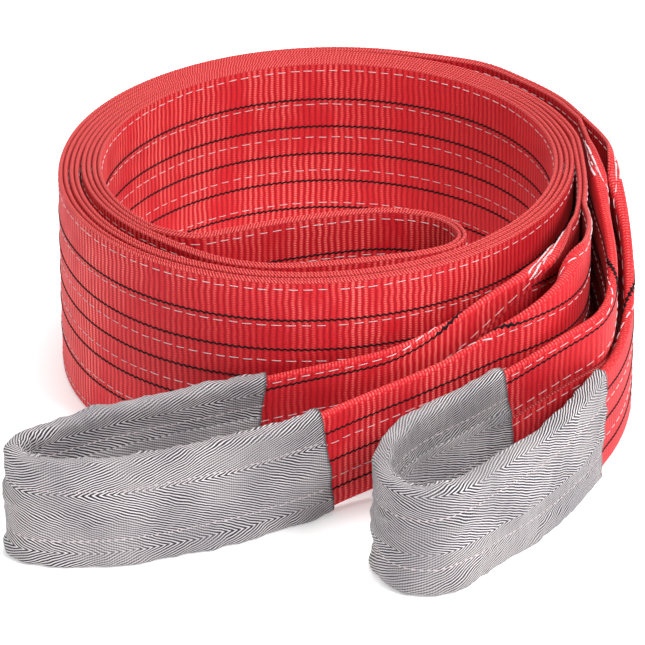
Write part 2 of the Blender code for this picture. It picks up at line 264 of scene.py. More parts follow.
# Colours
WHITE = (1.0, 1.0, 1.0, 1.0)
RED_GROOVE_SHADE = (0.380, 0.004, 0.010, 1.0)  # painted shade in the groove between two ribs
RED_RIB = (0.585, 0.007, 0.016, 1.0)
RED_HIGHLIGHT = (0.900, 0.185, 0.160, 1.0)  # painted highlight on the yarns on top of the ribs
# The braid's colours: painted shade between its strokes and painted highlight on its raised strokes
BRAID_GAP_SHADE = (0.470, 0.006, 0.014, 1.0)
BRAID_YARN_HIGHLIGHT = (0.850, 0.150, 0.135, 1.0)
RED_SHEEN = (1.0, 0.62, 0.60, 1.0)
SLEEVE_BLACK = (0.018, 0.019, 0.028, 1.0)
SLEEVE_GREY = (0.480, 0.450, 0.465, 1.0)
SLEEVE_WHITE = (0.860, 0.800, 0.800, 1.0)
SLEEVE_FLUFF = (0.660, 0.610, 0.615, 1.0)
SLEEVE_CUT = (0.045, 0.038, 0.042, 1.0)

# Threads: name, colours, roughness and length of one turn of their twist, in millimetres
THREADS = {
    "black": ("black_marker_thread", (0.002, 0.002, 0.003, 1.0), (0.008, 0.006, 0.008, 1.0), 0.80, 1.6),
    "white": ("white_sewing_thread", (0.560, 0.400, 0.420, 1.0), (0.840, 0.760, 0.780, 1.0), 0.50, 1.2),
    "seam": ("pink_sewing_thread", (0.480, 0.360, 0.380, 1.0), (0.800, 0.690, 0.710, 1.0), 0.60, 1.2),
}

# Patterns of the materials, in millimetres
RIB_MM = RIB * 1000
RIB_STRAY = 2.4  # how far the ribs stray from straight
YARN = 1.8  # pitch of the warp yarns
BRAID_LEAN = 0.45
TWILL = 1.78  # pitch of the twill lines
TWILL_STEP = 0.8
TWILL_BAND = 44.0  # width of a band of the herringbone
TWILL_STRAY = 3.0  # how far the bands stray from straight
TWILL_LEAN = (0.38, 0.90)
# Painted highlights on the webbing's ribs, in metres on the sling: left of a slanting line, and less round
# one spot
HIGHLIGHT_LEAN = 0.3
HIGHLIGHT_LINE = (0.055, 0.145)
DIMMER_SPOT = (-0.070, -0.085, 0.05)
DIMMER_REACH = (0.07, 0.13)

rng = random.Random(7)


# -------- camera, light and floor

def new_object(name, data):
    """An object in the scene."""
    obj = bpy.data.objects.new(name, data)
    bpy.context.scene.collection.objects.link(obj)
    return obj


def aim(obj, target):
    """Point a camera or light, which looks down its own -Z, at a target."""
    way = np.array(target) - np.array(obj.location)
    flat = math.hypot(way[0], way[1])
    obj.rotation_euler = (math.atan2(flat, -way[2]), 0.0, math.atan2(-way[0], way[1]))


def add_camera():
    """The camera, at the height and distance of the reference view."""
    data = bpy.data.cameras.new("camera")
    data.lens = LENS
    data.sensor_width = SENSOR_WIDTH
    obj = new_object("camera", data)
    elevation = math.radians(CAMERA_ELEVATION)
    obj.location = (TARGET[0], TARGET[1] - CAMERA_DISTANCE * math.cos(elevation),
                    TARGET[2] + CAMERA_DISTANCE * math.sin(elevation))
    aim(obj, TARGET)
    bpy.context.scene.camera = obj


def add_light(name, place, size, power):
    """A square soft box that shines at the sling."""
    data = bpy.data.lights.new(name, "AREA")
    data.shape = "SQUARE"
    data.size = size
    data.energy = power
    obj = new_object(name, data)
    obj.location = place
    aim(obj, LIGHT_TARGET)


def add_world():
    """White surroundings, with the plain Standard view."""
    world = bpy.data.worlds.new("room")
    world.use_nodes = True
    world.node_tree.nodes["Background"].inputs["Color"].default_value = WHITE
    world.node_tree.nodes["Background"].inputs["Strength"].default_value = WORLD_STRENGTH
    bpy.context.scene.world = world
    bpy.context.scene.view_settings.view_transform = "Standard"


def paper_object(name, points, faces, paint):
    """A sheet of the room's paper."""
    mesh = bpy.data.meshes.new(name)
    mesh.from_pydata(points, [], faces)
    mesh.materials.append(paint.material)
    return new_object(name, mesh)


def add_floor():
    """A wide pale floor."""
    paint = Paint("floor_paper")
    grain = paint.noise(paint.place(), 9.0, 3.0)
    paint.finish({"Base Color": paint.mix(grain, (0.96, 0.96, 0.96, 1.0), (0.98, 0.98, 0.98, 1.0)),
                  "Roughness": 0.9, "Specular IOR Level": 0.1, "Emission Color": WHITE,
                  "Emission Strength": 0.34})
    corners = [(x * FLOOR_REACH, y * FLOOR_REACH, 0) for x, y in ((-1, -1), (1, -1), (1, 1), (-1, 1))]
    floor = paper_object("floor", corners, [(0, 1, 2, 3)], paint)
    floor.location.z = FLOOR_HEIGHT


def add_backdrop():
    """A low white paper wall, far round the sling."""
    paint = Paint("backdrop_paper")
    paint.finish({"Base Color": (0.9, 0.9, 0.9, 1.0), "Emission Color": WHITE,
                  "Emission Strength": 0.95})
    n = BACKDROP_SIDES
    angles = [2 * math.pi * k / n for k in range(n)]
    points = [(BACKDROP_RADIUS * math.cos(a), BACKDROP_RADIUS * math.sin(a), z)
              for z in BACKDROP_HEIGHTS for a in angles]
    faces = [(k, (k + 1) % n, n + (k + 1) % n, n + k) for k in range(n)]
    backdrop = paper_object("backdrop", points, faces, paint)


# -------- materials

class Paint:
    """A Principled material and short names for building its nodes. Lengths on cloth are in millimetres."""

    def __init__(self, name):
        self.material = bpy.data.materials.new(name)
        self.material.use_nodes = True
        self.nodes = self.material.node_tree.nodes
        self.links = self.material.node_tree.links
        self.shader = self.nodes["Principled BSDF"]

    def feed(self, socket, value):
        """Link a socket, or set it where the value is a number or a colour."""
        if isinstance(value, bpy.types.NodeSocket):
            self.links.new(value, socket)
        else:
            socket.default_value = value

    def finish(self, settings):
        """Feed the shader's sockets."""
        for name, value in settings.items():
            self.feed(self.shader.inputs[name], value)

    def node(self, kind, *values, **settings):
        """A node with its settings, and with values for its first sockets."""
        node = self.nodes.new("ShaderNode" + kind)
        for name, value in settings.items():
            setattr(node, name, value)
        for socket, value in zip(node.inputs, values):
            self.feed(socket, value)
        return node

    def math(self, operation, *values):
        """A Math node."""
        return self.node("Math", *values, operation=operation).outputs[0]

    def times(self, a, b):
        """The product of two values."""
        return self.math("MULTIPLY", a, b)

    def line(self, value, slope, start):
        """The slope times the value, plus the start."""
        return self.math("MULTIPLY_ADD", value, slope, start)

    def rest(self, value):
        """What is left of 1."""
        return self.math("SUBTRACT", 1.0, value)

    def split(self, vector):
        """The first two values of a vector."""
        node = self.node("SeparateXYZ", vector)
        return node.outputs[0], node.outputs[1]

    def uv(self):
        """Distance along and place across the cloth, in millimetres."""
        along, across = self.split(self.node("UVMap", uv_map="cloth").outputs[0])
        return self.times(along, 1000.0), self.times(across, 1000.0)

    def vector(self, x, y):
        """A vector from two values."""
        return self.node("CombineXYZ", x, y).outputs[0]

    def place(self):
        """Position on the object."""
        return self.node("TexCoord").outputs["Object"]

    def attribute(self, name):
        """A number stored on the mesh."""
        return self.node("Attribute", attribute_name=name).outputs["Fac"]

    def distance(self, vector, point):
        """Distance from a fixed point."""
        return self.node("VectorMath", vector, point, operation="DISTANCE").outputs["Value"]

    def noise(self, vector, scale, detail):
        """Smooth noise between 0 and 1."""
        node = self.node("TexNoise", vector)
        node.inputs["Scale"].default_value = scale
        node.inputs["Detail"].default_value = detail
        return node.outputs["Fac"]

    def chance(self, value):
        """One random number for each whole number."""
        node = self.node("TexWhiteNoise", noise_dimensions="1D")
        self.feed(node.inputs["W"], value)
        return node.outputs["Value"]

    def wave(self, value, pitch):
        """A cosine between 0 and 1, with its crest at 0."""
        turn = self.times(value, 2.0 * math.pi / pitch)
        return self.line(self.math("COSINE", turn), 0.5, 0.5)

    def ramp(self, value, low, high):
        """Ease from 0 at low to 1 at high."""
        return self.node("MapRange", value, low, high, interpolation_type="SMOOTHSTEP").outputs[0]

    def mix(self, amount, a, b):
        """A colour between two colours."""
        node = self.node("Mix", amount, data_type="RGBA")
        self.feed(node.inputs[6], a)
        self.feed(node.inputs[7], b)
        return node.outputs[2]

    def bump(self, height):
        """Raise the surface by a height in millimetres."""
        node = self.node("Bump")
        node.inputs["Distance"].default_value = 0.001
        self.links.new(height, node.inputs["Height"])
        self.links.new(node.outputs["Normal"], self.shader.inputs["Normal"])


def highlight_places(p, s, v):
    """Where painted highlights show on the webbing's ribs, from 0 to 1: in patches on a part of the sling.
    """
    x, y = p.split(p.place())
    highlight = p.rest(p.ramp(p.line(y, HIGHLIGHT_LEAN, x), *HIGHLIGHT_LINE))
    patch = p.noise(p.vector(s, p.times(v, 0.45)), 0.035, 2.0)
    highlight = p.times(p.line(highlight, 0.85, 0.15), p.ramp(patch, 0.34, 0.56))
    away = p.distance(p.place(), DIMMER_SPOT)
    return p.times(highlight, p.line(p.ramp(away, *DIMMER_REACH), 0.75, 0.25))


def braid_strokes(p, s, v, fibre):
    """Slanting strokes of the selvedge, from 0 to 1, which lean to both sides from its middle."""
    turn = (WEB_WIDTH + PLY) * 1000
    aside = p.math("ABSOLUTE", p.math("SUBTRACT", p.math("MODULO", v, turn), turn / 2))
    slant = p.math("ADD", p.times(s, 2.0 / RIB_MM), p.times(aside, BRAID_LEAN))
    return p.wave(p.line(fibre, 0.5, slant), 1.0)


def webbing_paint():
    """Red polyester webbing: ribs across, warp yarns along, braided selvedge, with painted highlights on
    the ribs and braid and painted shade between them.
    """
    p = Paint("red_polyester_webbing")
    s, v = p.uv()
    edge = p.attribute("edge")
    crest = p.attribute("crest")
    fibre = p.noise(p.vector(p.times(s, 0.35), p.times(v, 1.9)), 1.0, 3.0)

    # Ribs stray a little, and a crest shows them pulled to half their pitch
    stray = p.noise(p.vector(p.times(s, 0.03), p.times(v, 0.09)), 1.0, 1.0)
    stray = p.line(p.math("SUBTRACT", stray, 0.5), RIB_STRAY, s)
    rib = p.times(p.wave(stray, RIB_MM), p.rest(crest))
    rib = p.line(p.wave(s, RIB_MM / 2), crest, rib)

    # Warp yarns, which stand half a pitch aside on every second rib
    rib_number = p.math("ROUND", p.math("DIVIDE", stray, RIB_MM))
    aside = p.line(rib_number, 0.5 * YARN, v)
    yarn = p.math("ABSOLUTE", p.math("SINE", p.times(aside, math.pi / YARN)))

    # Painted highlights on the yarns on top of the ribs
    lit = p.times(p.ramp(rib, 0.35, 1.0), p.line(p.chance(rib_number), 0.50, 0.55))
    lit = p.times(lit, p.line(p.ramp(yarn, 0.25, 0.85), 0.95, 0.12))
    lit = p.times(lit, p.line(fibre, 0.9, 0.45))
    # Where the painted highlights show: in patches on a part of the sling, and on the crests of folds
    shown = p.math("MAXIMUM", p.math("ADD", highlight_places(p, s, v), 0.08), p.times(crest, 0.8))
    # Painted shade in the grooves between the ribs
    ground = p.mix(p.ramp(rib, 0.02, 0.35), RED_GROOVE_SHADE, RED_RIB)
    face = p.mix(p.times(lit, shown), ground, RED_HIGHLIGHT)

    # The braid's slanting strokes, with painted highlight on the raised ones and painted shade between them
    stroke = braid_strokes(p, s, v, fibre)
    broken = p.times(p.ramp(stroke, 0.35, 0.85), p.line(fibre, 1.3, 0.15))
    braid = p.mix(broken, BRAID_GAP_SHADE, BRAID_YARN_HIGHLIGHT)
    p.finish({"Base Color": p.mix(p.ramp(edge, 0.3, 0.8), face, braid),
              "Roughness": p.line(fibre, 0.25, 0.48), "Specular IOR Level": 0.22,
              "Sheen Weight": 0.08, "Sheen Roughness": 0.45, "Sheen Tint": RED_SHEEN})
    flat = p.line(yarn, 0.16, p.times(fibre, 0.10))
    raised = p.times(stroke, 0.60)
    p.bump(p.math("ADD", p.times(flat, p.rest(edge)), p.times(raised, edge)))
    return p.material


def thread_paint(name, dark, light, roughness, twist):
    """Twisted thread between two colours."""
    p = Paint(name)
    s, v = p.uv()
    ply = p.wave(p.math("ADD", s, p.times(v, 0.8)), twist)
    p.finish({"Base Color": p.mix(ply, dark, light), "Roughness": roughness, "Specular IOR Level": 0.2})
    p.bump(p.times(ply, 0.15))
    return p.material


def sleeve_paint(turn):
    """Black and white herringbone twill. turn is a place across the cloth where the twill turns back."""
    p = Paint("grey_sleeve_cloth")
    s, v = p.uv()
    fibre = p.noise(p.vector(p.times(s, 2.2), p.times(v, 2.2)), 1.0, 2.0)

    # Twill lines climb in short steps, and turn back at the borders of the bands
    stray = p.noise(p.vector(s, v), 0.06, 2.0)
    bent = p.line(stray, TWILL_STRAY, p.math("SUBTRACT", v, TWILL_STRAY / 2))
    zigzag = p.math("PINGPONG", p.math("ADD", bent, turn), TWILL_BAND)
    stepped = p.times(p.math("FLOOR", p.math("DIVIDE", s, TWILL_STEP)), TWILL_STEP)
    line = p.wave(p.math("ADD", p.times(stepped, TWILL_LEAN[0]), p.times(zigzag, TWILL_LEAN[1])), TWILL)

    # White yarns over black ones, which blur into small dots in places
    show = p.ramp(p.line(fibre, 0.30, line), 0.70, 0.90)
    dots = p.times(p.wave(s, 1.6), p.wave(v, 1.3))
    blur = p.noise(p.vector(p.times(s, 0.4), v), 0.05, 1.0)
    blur = p.times(p.ramp(blur, 0.46, 0.62), 0.45)
    show = p.line(show, p.rest(blur), p.times(blur, p.line(dots, 0.8, 0.20)))

    shade = p.noise(p.vector(s, v), 0.02, 2.0)
    light = p.mix(p.ramp(shade, 0.35, 0.65), SLEEVE_GREY, SLEEVE_WHITE)
    light = p.mix(fibre, light, SLEEVE_FLUFF)
    twill = p.mix(show, SLEEVE_BLACK, light)
    p.finish({"Base Color": p.mix(p.attribute("edge"), twill, SLEEVE_CUT), "Roughness": 0.85,
              "Specular IOR Level": 0.25, "Sheen Weight": 0.15})
    p.bump(p.line(line, 0.22, p.times(fibre, 0.15)))
    return p.material


# -------- routes

def smooth(t):
    """Ease from 0 to 1."""
    t = np.clip(t, 0.0, 1.0)
    return t * t * (3.0 - 2.0 * t)


def swell(angle, swells):
    """Sum of the swells at each angle."""
    total = np.zeros_like(angle)
    for middle, reach, size in swells:
        d = np.clip(np.abs(angle - middle) / reach, 0.0, 1.0)
        total += size * np.cos(0.5 * np.pi * d) ** 2
    return total


def coil_points(start, end, half, step=FINE_ANGLE):
    """Middle line of one half on the coil. Angles run clockwise from the front."""
    angle = np.linspace(start, end, round(abs(end - start) / step) + 1)
    radius = INNER_RADIUS + LAYER_STEP * smooth((angle - LAYER_START) / LAYER_SPAN)
    radius += swell(angle, BAND_SWELLS)
    radius += half * (BAND_STEP + swell(angle, STEP_SWELLS))
    a = np.radians(angle)
    return np.column_stack([-radius * np.sin(a), -radius * np.cos(a)])


def spline(points):
    """A centripetal Catmull-Rom curve through the given points."""
    pts = np.array(points, dtype=float)
    pts = np.vstack([2 * pts[0] - pts[1], pts, 2 * pts[-1] - pts[-2]])
    out = []
    for p0, p1, p2, p3 in zip(pts, pts[1:], pts[2:], pts[3:]):
        t1 = np.linalg.norm(p1 - p0) ** 0.5
        t2 = t1 + np.linalg.norm(p2 - p1) ** 0.5
        t3 = t2 + np.linalg.norm(p3 - p2) ** 0.5
        t = t1 + (t2 - t1) * np.arange(CURVE_PARTS)[:, None] / CURVE_PARTS
        a1 = p0 + (p1 - p0) * t / t1
        a2 = p1 + (p2 - p1) * (t - t1) / (t2 - t1)
        a3 = p2 + (p3 - p2) * (t - t2) / (t3 - t2)
        b1 = a1 + (a2 - a1) * t / t2
        b2 = a2 + (a3 - a2) * (t - t1) / (t3 - t1)
        out.append(b1 + (b2 - b1) * (t - t1) / (t2 - t1))
    return np.vstack(out + [pts[-2:-1]])


def distances(points):
    """Distance of each point along its line."""
    return np.concatenate([[0.0], np.cumsum(np.linalg.norm(np.diff(points, axis=0), axis=1))])


def cut(points, start, end):
    """Take a length off each end of a line."""
    run = distances(points)
    marks = np.concatenate([[start], run[(run > start) & (run < run[-1] - end)], [run[-1] - end]])
    return np.column_stack([np.interp(marks, run, column) for column in points.T])


def middle_loop():
    """The loop where the sling is doubled, from the left half's coil to the right half's."""
    lead_in = coil_points(COIL_START + LEAD, COIL_START, LEFT, LEAD)
    lead_out = coil_points(COIL_START, COIL_START + LEAD, RIGHT, LEAD)
    line = spline(np.vstack([lead_in, MIDDLE_LOOP, lead_out]))
    return cut(line, distances(lead_in)[-1], distances(lead_out)[-1])


def run_out(half, coil_end, root):
    """Middle line of one half from the end of its coil to the root of its eye."""
    lead = coil_points(coil_end - LEAD, coil_end, half, LEAD)
    return cut(spline(np.vstack([lead, root])), distances(lead)[-1], 0.0)


def level(values, run):
    """A smoother course of values along a line, which keeps its two ends."""
    grid = np.arange(0.0, run[-1] + LEVEL_STEP, LEVEL_STEP)
    window = np.hanning(2 * LEVEL_REACH + 1)
    padded = np.pad(np.interp(grid, run, values), LEVEL_REACH, mode="edge")
    even = np.interp(run, grid, np.convolve(padded, window / window.sum(), mode="valid"))
    inside = smooth(np.minimum(run, run[-1] - run) / (LEVEL_STEP * LEVEL_REACH))
    return values + (even - values) * inside


class Strip:
    """A stretch of webbing: where it runs, and how its edges are folded in along it.

    s is the distance along the webbing, v the place across it, from its lower edge at -75 mm to its
    upper edge at 75 mm, and off the height above its middle surface, to the left of its route.
    """

    def __init__(self, line, start, shift=0.0, half=WEB_WIDTH / 2, fold=0.0, shelf=0.0):
        self.run = distances(line)
        self.s = start + self.run
        way = np.gradient(line[:, :2], axis=0)
        way /= np.linalg.norm(way, axis=1)[:, None]
        self.way = way
        self.normal = np.column_stack([-way[:, 1], way[:, 0]])
        self.plan = line[:, :2] + self.normal * shift + (COIL_X, COIL_Y)
        self.half, self.fold, self.shelf = [np.full(len(line), value) for value in (half, fold, shelf)]
        middle = line[:, 2] if line.shape[1] == 3 else self.half
        whole = np.linspace(0.0, WEB_WIDTH / 2, REACH_PLACES)[None, :]
        reach = self.section(self.s[:, None], whole, -PLY / 2)[1].max(axis=1)
        self.middle = np.maximum(level(np.maximum(middle, reach + LIFT * self.fold), self.run), reach)

    @functools.cached_property
    def turn(self):
        """How fast the route turns at each of its points, in radians for each metre."""
        turn = np.gradient(np.unwrap(np.arctan2(self.way[:, 1], self.way[:, 0])), self.run)
        return np.convolve(turn, np.ones(TURN_POINTS) / TURN_POINTS, mode="same")

    def read(self, s, column):
        """The value of a column at a distance along the strip."""
        return np.interp(s, self.s, column)

    def stations(self, start=0.0, end=0.0):
        """Distances that fall on whole steps of the weave, and the two ends."""
        low, high = self.s[0] + start, self.s[-1] - end
        first = math.ceil(low / STEP + STEP_ROOM)
        last = math.floor(high / STEP - STEP_ROOM)
        return np.concatenate([[low], np.arange(first, last + 1) * STEP, [high]])

    def bend_start(self, s):
        """How far from the web's middle line its edge starts to fold."""
        folded = np.minimum(self.read(s, self.fold) / (0.5 * np.pi), 1.0)
        return self.read(s, self.half) - (PLY / 2 + FOLD_RADIUS) * folded

    def section(self, s, v, off):
        """Distance from the middle surface and height over the middle line, for places on the web.

        A fold is two bends, with a flat crest between them, and then the flap.
        """
        fold = self.read(s, self.fold)
        shelf = self.read(s, self.shelf)
        start = self.bend_start(s)
        beyond = np.abs(v) - start
        turned = FOLD_RADIUS * fold / 2
        on_shelf = np.clip(beyond - turned, 0.0, shelf)
        angle = np.clip(beyond / FOLD_RADIUS, 0.0, fold / 2)
        angle = angle + np.clip((beyond - turned - shelf) / FOLD_RADIUS, 0.0, fold / 2)
        rest = np.maximum(beyond - 2 * turned - shelf, 0.0)
        across = FOLD_RADIUS * (1 - np.cos(angle)) + on_shelf * np.sin(fold / 2)
        across = across + rest * np.sin(angle) + off * np.cos(angle)
        height = np.minimum(np.abs(v), start) + FOLD_RADIUS * np.sin(angle) + on_shelf * np.cos(fold / 2)
        return across, height + rest * np.cos(angle) - off * np.sin(angle)

    def beside(self, s, across):
        """x and y at a distance along the strip and a distance to the left of it."""
        x = self.read(s, self.plan[:, 0]) + self.read(s, self.normal[:, 0]) * across
        y = self.read(s, self.plan[:, 1]) + self.read(s, self.normal[:, 1]) * across
        return x, y

    def place(self, s, v, off):
        """Points in space for places on the web."""
        s, v, off = np.broadcast_arrays(s, v, off)
        across, height = self.section(s, v, off)
        x, y = self.beside(s, across)
        return np.stack([x, y, self.read(s, self.middle) + np.sign(v) * height], axis=-1)


def eye_strip(route, root, start, taper, folds):
    """The web of one eye, from its inner root round its tip to its outer root."""
    before, at = root[-2], root[-1]
    way = (at - before) / np.linalg.norm(at - before)
    aside = np.array([-way[1], way[0]]) * (PLY + PLY_GAP) / 2
    inner = np.append(at - aside, WEB_WIDTH / 2)
    outer = np.append(at + aside, WEB_WIDTH / 2)
    line = spline(np.vstack([inner, route, outer]))
    run = distances(line)
    wide, turned, shelf = np.zeros(len(run)), np.ones(len(run)), np.zeros(len(run))
    for away, length, (fold_start, fold_run, flat) in zip((run, run[-1] - run), taper, folds):
        narrow = NARROW_START * fold_start
        wide = np.maximum(wide, 1.0 - smooth((away - narrow) / (length - narrow)))
        turned = np.minimum(turned, smooth((away - fold_start) / fold_run))
        shelf += flat * (1.0 - smooth((away - SHELF_START) / SHELF_RUN)) * smooth(away / fold_start)
    half = FOLDED_HALF + (WEB_WIDTH / 2 - FOLDED_HALF) * wide
    return Strip(line, start, 0.0, half, np.pi * turned, shelf)


# -------- meshes

def rib_height(s, crest=0.0):
    """Half the thickness of the web, with its ribs, which are pulled flat on the crest of a fold."""
    depth = RIB_DEPTH * (1.0 - CREST_CALM * crest)
    return PLY / 2 - depth * np.maximum(0.0, -np.cos(2 * np.pi * s / RIB))


def tube_mesh(name, tubes, material, **marks):
    """One mesh of closed tubes. Each tube is an array of rings and an array of cloth places.

    A ring has k points and k + 1 cloth places, so that the pattern can run on past the last point.
    marks are numbers stored on the points.
    """
    points, faces, places = [], [], []
    base = 0
    for rings, cloth in tubes:
        n, k = rings.shape[:2]
        i = np.arange(n - 1)[:, None] * k
        j = np.arange(k)[None, :]
        after = (j + 1) % k
        quads = np.stack([i + j, i + after, i + k + after, i + k + j], axis=-1).reshape(-1, 4)
        at = np.arange(n - 1)[:, None] * (k + 1)
        corners = np.stack([at + j, at + j + 1, at + k + 2 + j, at + k + 1 + j], axis=-1).reshape(-1)
        places += [cloth.reshape(-1, 2)[corners], cloth[0, :k][::-1], cloth[-1, :k]]
        points.append(rings.reshape(-1, 3))
        faces += (quads + base).tolist()
        faces.append(list(range(base, base + k))[::-1])
        faces.append(list(range(base + (n - 1) * k, base + n * k)))
        base += n * k
    points = np.vstack(points)
    mesh = bpy.data.meshes.new(name)
    mesh.from_pydata(points.tolist(), [], faces)
    layer = mesh.uv_layers.new(name="cloth")
    layer.data.foreach_set("uv", np.vstack(places).astype(np.float32).ravel())
    for mark, values in marks.items():
        store = mesh.attributes.new(mark, "FLOAT", "POINT")
        store.data.foreach_set("value", values.astype(np.float32).ravel())
    mesh.materials.append(material)
    mesh.update()
    solid = bmesh.new()
    solid.from_mesh(mesh)
    if solid.calc_volume(signed=True) < 0.0:
        mesh.flip_normals()
    solid.free()
    mesh.shade_smooth()
    obj = new_object(name, mesh)
    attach(obj, "root")
    return obj


def web_columns(strip, s):
    """Places across the upper half of the web, from its middle to its selvedge, at each station.

    Also how much each of them lies on the crest of a fold, from 0 to 1.
    """
    limit = WEB_WIDTH / 2 - EDGE
    if not strip.fold.any():
        columns = np.tile(COLUMNS * limit, (len(s), 1))
        return columns, np.zeros(columns.shape)
    start = strip.bend_start(s)[:, None]
    turned = FOLD_RADIUS * strip.read(s, strip.fold)[:, None] / 2
    shelf = strip.read(s, strip.shelf)[:, None]
    bend = turned * np.array([1.0, 2.0, 3.0]) / 3
    first = start + bend
    crest = start + turned + shelf * np.array([0.5, 1.0])
    second = start + turned + shelf + bend
    end = second[:, -1:]
    flap = end + np.maximum(limit - end, 0.0) * np.array([0.5, 1.0])
    columns = np.hstack([start * np.array([0.0, 0.5, 1.0]), first, crest, second, flap])
    apart = COLUMN_GAP * np.arange(columns.shape[1])[::-1]
    whole = smooth(strip.read(s, strip.fold)[:, None] / CREST_FOLD)
    return np.minimum(columns, limit - apart), CREST_MARKS * whole


def web(name, strip, node, material):
    """One stretch of webbing, with ribs on both faces and a rounded selvedge."""
    s = strip.stations()
    upper, upper_crest = web_columns(strip, s)
    face = np.hstack([-upper[:, :0:-1], upper])
    crest = np.hstack([upper_crest[:, :0:-1], upper_crest])
    count = face.shape[1]
    thick = rib_height(s[:, None], crest)
    limit = WEB_WIDTH / 2
    slant = np.cos(2 * np.pi * s[:, None] / RIB + np.arange(len(EDGE_OFF))[None, :] * 0.5 * np.pi)
    rim = limit - EDGE * EDGE_DROP[None, :] - EDGE_BUMP * (0.5 - 0.5 * slant)
    rim_off = EDGE_OFF[None, :] * thick[:, -1:]
    v = np.hstack([face, rim, face[:, ::-1], -rim])
    off = np.hstack([-thick, rim_off, thick, -rim_off])
    rings = strip.place(s[:, None], v, off)
    width = WEB_WIDTH + PLY
    rim_place = np.tile(limit + PLY / 2 * (1.0 + EDGE_OFF), (len(s), 1))
    across = np.hstack([face, rim_place, width - face[:, ::-1], width + rim_place,
                        face[:, :1] + 2 * width])
    cloth = np.stack([np.broadcast_to(s[:, None], across.shape), across], axis=-1)
    rim_mark = np.ones(len(EDGE_OFF))
    edge = np.concatenate([np.zeros(count), rim_mark, np.zeros(count), rim_mark])
    no_crest = np.zeros((len(s), len(EDGE_OFF)))
    crest = np.hstack([crest, no_crest, crest, no_crest])
    obj = tube_mesh(name, [(rings, cloth)], material, edge=np.tile(edge, (len(s), 1)), crest=crest)
    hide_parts(node)


def cloth_places(s, side):
    """Cloth places of a thread's tube, from its stations and the length of one side of its section."""
    shape = (len(s), len(DIAMOND) + 1)
    return np.stack([np.broadcast_to(s[:, None], shape),
                     np.broadcast_to(np.arange(len(DIAMOND) + 1) * side, shape)], axis=-1)


def thread_tube(strip, s, v, side, width, height, lift):
    """A flattened thread along one face of the web, at a height over its middle surface."""
    across = v[:, None] + width * DIAMOND[None, :, 0]
    off = side * (lift[:, None] + height * DIAMOND[None, :, 1])
    return strip.place(s[:, None], across, off), cloth_places(s, width * DIAMOND_SIDE)


def marker_thread(strip, v, side, start, end):
    """One black thread, which goes up and down with the ribs."""
    s = strip.stations(start, end)
    wave = v + MARKER_WAVE * np.sin(2 * np.pi * s / RIB)
    return thread_tube(strip, s, wave, side, MARKER_WIDTH, MARKER_HEIGHT, rib_height(s) + MARKER_LIFT)


def stitch_row(strip, v, side, start, end):
    """A row of stitches along the web, which lie over its ribs and dip into it at both ends."""
    out = []
    lift = PLY / 2 + STITCH_RISES * STITCH_HEIGHT
    s = strip.s[0] + start + rng.uniform(0.0, STITCH_PITCH)
    while s < strip.s[-1] - end - STITCH_LENGTH:
        length = STITCH_LENGTH * rng.uniform(0.88, 1.10)
        across = v + rng.uniform(-STITCH_ASIDE, STITCH_ASIDE)
        across = across + STITCH_PARTS * rng.uniform(-STITCH_SKEW, STITCH_SKEW)
        out.append(thread_tube(strip, s + length * STITCH_PARTS, across, side, STITCH_WIDTH,
                               STITCH_HEIGHT, lift))
        s += STITCH_PITCH * rng.uniform(0.96, 1.04)
    return out


def dress(name, faces, black, white):
    """Marker threads and stitch rows on the given faces of strips: (strip, side, start, end)."""
    threads, stitches = [], []
    for strip, side, start, end in faces:
        for v in MARKER_ROWS:
            threads.append(marker_thread(strip, v, side, start, end))
        for v in STITCH_ROWS:
            stitches += stitch_row(strip, v, side, start, end)
    for obj in (tube_mesh(name + "_marker_threads", threads, black),
                tube_mesh(name + "_stitch_rows", stitches, white)):
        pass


# -------- sleeves

def sleeve_columns(half):
    """The path round a sleeve's section, with its outward direction, at each station.

    It starts at the free edge inside the eye, goes over the top, down the outside, under the web
    and up again to lap over its own start.
    """
    right = -(PLY / 2 + SLEEVE_AIR + SLEEVE_WALL / 2)
    left = FLAP_FACE + SLEEVE_AIR + SLEEVE_WALL / 2
    top = half + SLEEVE_AIR + SLEEVE_WALL / 2
    shoulder = top - SLEEVE_BEND
    flat = left - right - 2 * SLEEVE_BEND
    out = []

    def add(across, height, nx, nz):
        out.append([np.broadcast_to(a, half.shape) for a in (across, height, nx, nz)])

    def arc(cx, cz, start):
        for k in range(1, CORNER_PARTS):
            a = start + k * np.pi / (2 * CORNER_PARTS)
            add(cx + SLEEVE_BEND * np.cos(a), cz + SLEEVE_BEND * np.sin(a), np.cos(a), np.sin(a))

    for f in np.linspace(0.0, 1.0, INNER_PLACES):
        add(left, SLEEVE_BEGIN + f * (shoulder - SLEEVE_BEGIN), 1.0, 0.0)
    arc(left - SLEEVE_BEND, shoulder, 0.0)
    for f in (0.0, 0.5, 1.0):
        add(left - SLEEVE_BEND - f * flat, top, 0.0, 1.0)
    arc(right + SLEEVE_BEND, shoulder, np.pi / 2)
    for f in np.linspace(1.0, -1.0, OUTER_PLACES):
        add(right, f * shoulder, -1.0, 0.0)
    arc(right + SLEEVE_BEND, -shoulder, np.pi)
    for f in (0.0, 0.5, 1.0):
        add(right + SLEEVE_BEND + f * flat, -top, 0.0, -1.0)
    arc(left - SLEEVE_BEND, -shoulder, 1.5 * np.pi)
    for f in np.linspace(0.0, 1.0, INNER_PLACES):
        height = -shoulder + f * (shoulder + SLEEVE_OVERLAP)
        lap = smooth((height - LAP_START) / LAP_RUN) * (SLEEVE_WALL + LAP_AIR)
        add(left + lap, height, 1.0, 0.0)
    return np.moveaxis(np.array(out), 0, -1)


def wrinkle(s, height, grain, layer):
    """Smooth noise on a sleeve's cloth."""
    along, lean, across = grain
    return noise.noise((s * along + height * lean, height * across, layer))


